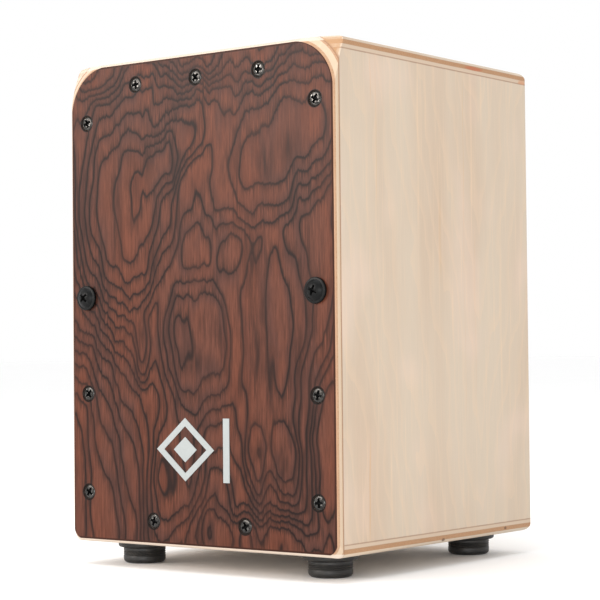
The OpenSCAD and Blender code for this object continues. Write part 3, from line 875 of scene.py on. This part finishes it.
# Screws and washers under the feet, and the two screws of the snare plate
foot_centres = [centre_of(node) for node in FEET]
washer_low, washer_high = box_mm("foot_washers")
foot_screw_low, foot_screw_high = box_mm("foot_screws")
pan_head = carved(
    "foot_screw",
    [(0, 0.0), (1.6, 0.06), (2.7, 0.34), (3.25, 0.85), (3.5, 1.6), (3.5, 2.2), (3.3, 2.4), (1.75, 2.4),
     (1.75, foot_screw_high.z - foot_screw_low.z), (0, foot_screw_high.z - foot_screw_low.z)],
    cross_cutter(4.0, 0.9, 1.5), ZINC)
foot_screws = gathered("foot_screw_set", [
    (pan_head, Matrix.Translation(Vector((x, y, foot_screw_low.z)) * MM)
     @ Matrix.Rotation(math.radians(FOOT_TURN + FOOT_TURN_STEP * k), 4, "Z"))
    for k, (x, y) in enumerate(foot_centres)])
washer_mesh = bmesh.new()
washer_t = washer_high.z - washer_low.z
for x, y in foot_centres:
    lathe(washer_mesh, [(1.85, 0.0), (4.3, 0.0), (4.4, 0.12), (4.4, washer_t - 0.05), (4.35, washer_t),
                        (1.85, washer_t), (1.85, 0.0)],
          Matrix.Translation(Vector((x, y, washer_low.z)) * MM), around=72)
bmesh.ops.remove_doubles(washer_mesh, verts=washer_mesh.verts, dist=1e-7)
foot_washers = made("foot_washer_set", washer_mesh, ZINC)
plate_low, plate_high = box_mm("snare_plate_screws")
PLATE_HEAD_R = 2.3
round_head = carved(
    "plate_screw",
    [(0, 0.0), (1.2, 0.08), (1.9, 0.4), (PLATE_HEAD_R, 1.0), (PLATE_HEAD_R, 1.4), (2.2, 1.5), (1.25, 1.5),
     (1.25, 11.4), (0, 11.5)],
    cross_cutter(2.8, 0.7, 1.0), ZINC)
plate_z = (plate_low.z + plate_high.z) / 2
plate_screws = gathered("snare_plate_screw_set", [
    (round_head, facing_front(x, plate_low.y, plate_z, turn))
    for x, turn in ((plate_low.x + PLATE_HEAD_R, 30), (plate_high.x - PLATE_HEAD_R, 75))])
for piece, node, slot, body in ((foot_screws, "foot_screws", "zinc_steel", "case"),
                                (foot_washers, "foot_washers", "zinc_steel", "case"),
                                (plate_screws, "snare_plate_screws", "snare_steel", "snare_carriage")):
    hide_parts(node)
    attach(piece, body)


# Snare wires: a coil of thin wire for each
def coil(mesh, x, y, low, high, outer_r, wire_r, pitch):
    per_turn, sides = 11, 6
    mean = outer_r - wire_r
    count = int((high - low) / pitch * per_turn)
    rings = []
    for k in range(count + 1):
        a = 2 * math.pi * k / per_turn
        z = low + wire_r + (high - low - 2 * wire_r) * k / count
        outward = Vector((math.cos(a), math.sin(a), 0))
        centre = Vector((x, y, z)) + outward * mean
        ring = []
        for s in range(sides):
            b = 2 * math.pi * s / sides
            spoke = outward * math.cos(b) + Vector((0, 0, 1)) * math.sin(b)
            ring.append(mesh.verts.new((centre + spoke * wire_r) * MM))
        rings.append(ring)
    for low_ring, high_ring in zip(rings, rings[1:]):
        for s in range(sides):
            n = (s + 1) % sides
            mesh.faces.new((low_ring[s], low_ring[n], high_ring[n], high_ring[s]))
    mesh.faces.new(rings[0])
    mesh.faces.new(rings[-1])


wires_low, wires_high = box_mm("snare_wires")
wire_mesh = bmesh.new()
WIRE_COUNT, WIRE_R, COIL_PITCH = 10, 0.24, 1.15
coil_r = (wires_high.y - wires_low.y) / 2
wires_y = (wires_low.y + wires_high.y) / 2
for i in range(WIRE_COUNT):
    x = wires_low.x + coil_r + (wires_high.x - wires_low.x - 2 * coil_r) * i / (WIRE_COUNT - 1)
    coil(wire_mesh, x, wires_y, wires_low.z, wires_high.z, coil_r, WIRE_R, COIL_PITCH)
snare_wires = made("snare_wire_coils", wire_mesh, SNARE_STEEL, 60)
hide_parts("snare_wires")
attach(snare_wires, "snare_carriage")


# ---------------------------------------------------------------- carried-over CAD nodes

def dress(name, material):
    obj = nodes[name]
    obj.data.materials.clear()
    obj.data.materials.append(material)


for name, material in (("top_panel", TOP_PLY), ("bottom_panel", BOTTOM_PLY), ("left_side_panel", SIDE_PLY),
                       ("right_side_panel", SIDE_PLY), ("rear_panel", REAR_PLY), ("tapa_board", TAPA_PLY),
                       ("tapa_veneer", BURL)):
    dress(name, material)
for end in ("front", "rear"):
    for side in ("left", "right"):
        dress(f"{end}_{side}_batten", PINE_UPRIGHT)
    for level in ("top", "bottom"):
        dress(f"{end}_{level}_batten", PINE_LEVEL)
dress("snare_bar", BEECH)
dress("left_adjuster_insert", BRASS)
dress("right_adjuster_insert", BRASS)
dress("snare_plate", ZINC)
dress("snare_end_strip", SNARE_STEEL)
dress("front_emblem", FOIL)


# ---------------------------------------------------------------- studio

def studio():
    p = Paint("studio_floor")
    cloud = p.noise((0.004, 0.004, 0.004), 2, 0.5)
    tone = p.mix(cloud, srgb(252, 252, 252), srgb(255, 255, 255))
    material = p.finish(tone, p.span(cloud, 0.3, 0.7, 0.75, 0.85))
    mesh = bmesh.new()
    near_r, far_r = 4000, 30000
    lathe(mesh, [(0, 0), (near_r, 0), (far_r, 0)], around=64)
    made("studio_floor", mesh, material, 60)

    world = bpy.data.worlds.new("studio")
    bpy.context.scene.world = world
    world.use_nodes = True
    world.node_tree.nodes["Background"].inputs[0].default_value = (1.0, 1.0, 1.0, 1)
    world.node_tree.nodes["Background"].inputs[1].default_value = 1.0

    def lamp(name, place, size, power, colour=(1, 1, 1)):
        """An area lamp aimed at the middle of the box. Place and size in metres, power in watts."""
        light = bpy.data.lights.new(name, "AREA")
        light.shape = "RECTANGLE"
        light.size = size[0]
        light.size_y = size[1]
        light.energy = power
        light.color = colour
        obj = bpy.data.objects.new(name, light)
        bpy.context.scene.collection.objects.link(obj)
        obj.location = place
        aim = Vector((0, 0, 0.11)) - Vector(place)
        obj.rotation_euler = aim.to_track_quat("-Z", "Y").to_euler()

    lamp("key_low", (0.75, -1.35, 0.17), (0.8, 0.3), 8)
    lamp("fill_left", (-0.85, -1.35, 0.58), (0.7, 0.5), 15, (1.0, 0.93, 0.88))
    lamp("top_soft", (0.0, -0.3, 1.5), (1.2, 1.2), 9)


def camera():
    """The main viewpoint, a little below mid-height, with the playing face on the left. Its turn, tilt and
    roll are in degrees, its lens and sensor in millimetres, and its place in metres."""
    turn, tilt, roll = math.radians(37.392), math.radians(1.606), math.radians(-0.558)
    ahead = Vector((-math.sin(turn) * math.cos(tilt), math.cos(turn) * math.cos(tilt), math.sin(tilt)))
    right = Vector((math.cos(turn), math.sin(turn), 0))
    up = right.cross(ahead)
    right, up = right * math.cos(roll) + up * math.sin(roll), up * math.cos(roll) - right * math.sin(roll)
    data = bpy.data.cameras.new("camera")
    data.sensor_width = 36.0
    data.lens = 113.9
    data.clip_start = 0.05
    data.clip_end = 50
    obj = bpy.data.objects.new("camera", data)
    bpy.context.scene.collection.objects.link(obj)
    axes = Matrix((right, up, -ahead)).transposed().to_4x4()
    obj.matrix_world = Matrix.Translation((0.5248, FRONT_Y * MM - 0.6143, 0.0931)) @ axes
    bpy.context.scene.camera = obj


studio()
camera()
bpy.context.scene.view_settings.view_transform = "Standard"
